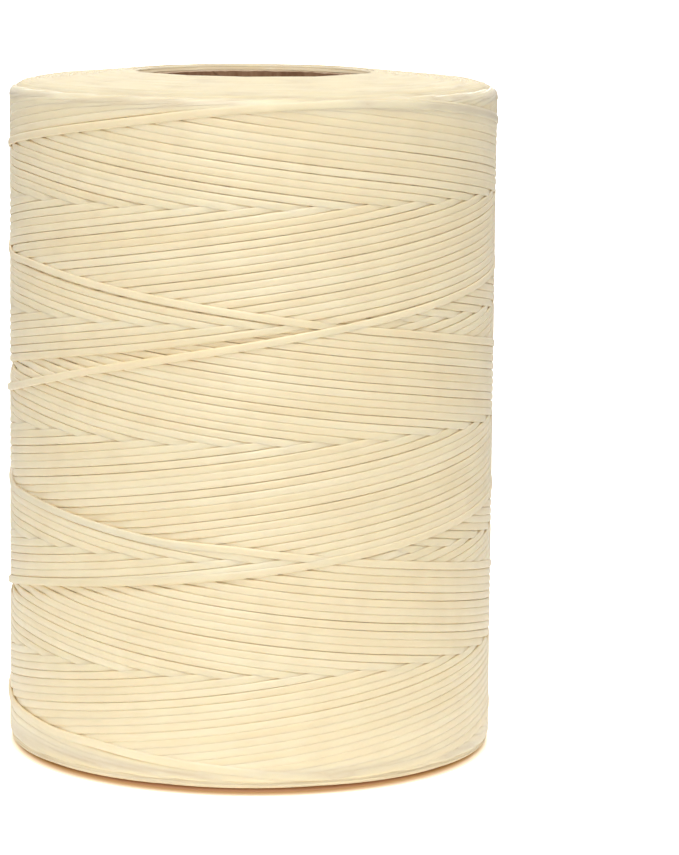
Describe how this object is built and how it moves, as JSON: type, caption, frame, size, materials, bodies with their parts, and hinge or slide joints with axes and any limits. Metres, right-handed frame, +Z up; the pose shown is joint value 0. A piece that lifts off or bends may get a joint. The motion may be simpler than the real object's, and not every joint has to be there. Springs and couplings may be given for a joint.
{
  "type": "waxed thread spool",
  "caption": "Cylindrical spool of flat waxed leatherworking thread, cross-wound on an open paper tube that fits over a thread stand's spindle.",
  "frame": {"origin": "centre of the lower end, on the surface that the spool stands on", "axes": "+Z up along the spool's axis, from the lower end to the upper one; the picture looks along +Y with +X to the right"},
  "size_m": [0.07, 0.07, 0.095],
  "materials": {
    "kraft_paper": "matte",
    "waxed_thread": "satin"
  },
  "bodies": {
    "root": {"tube_liner_ply": "kraft_paper", "tube_body_ply_1": "kraft_paper", "tube_body_ply_2": "kraft_paper", "tube_body_ply_3": "kraft_paper", "tube_body_ply_4": "kraft_paper", "tube_cover_ply": "kraft_paper", "winding_core": "waxed_thread", "outer_turns": "waxed_thread"}
  },
  "joints": []
}
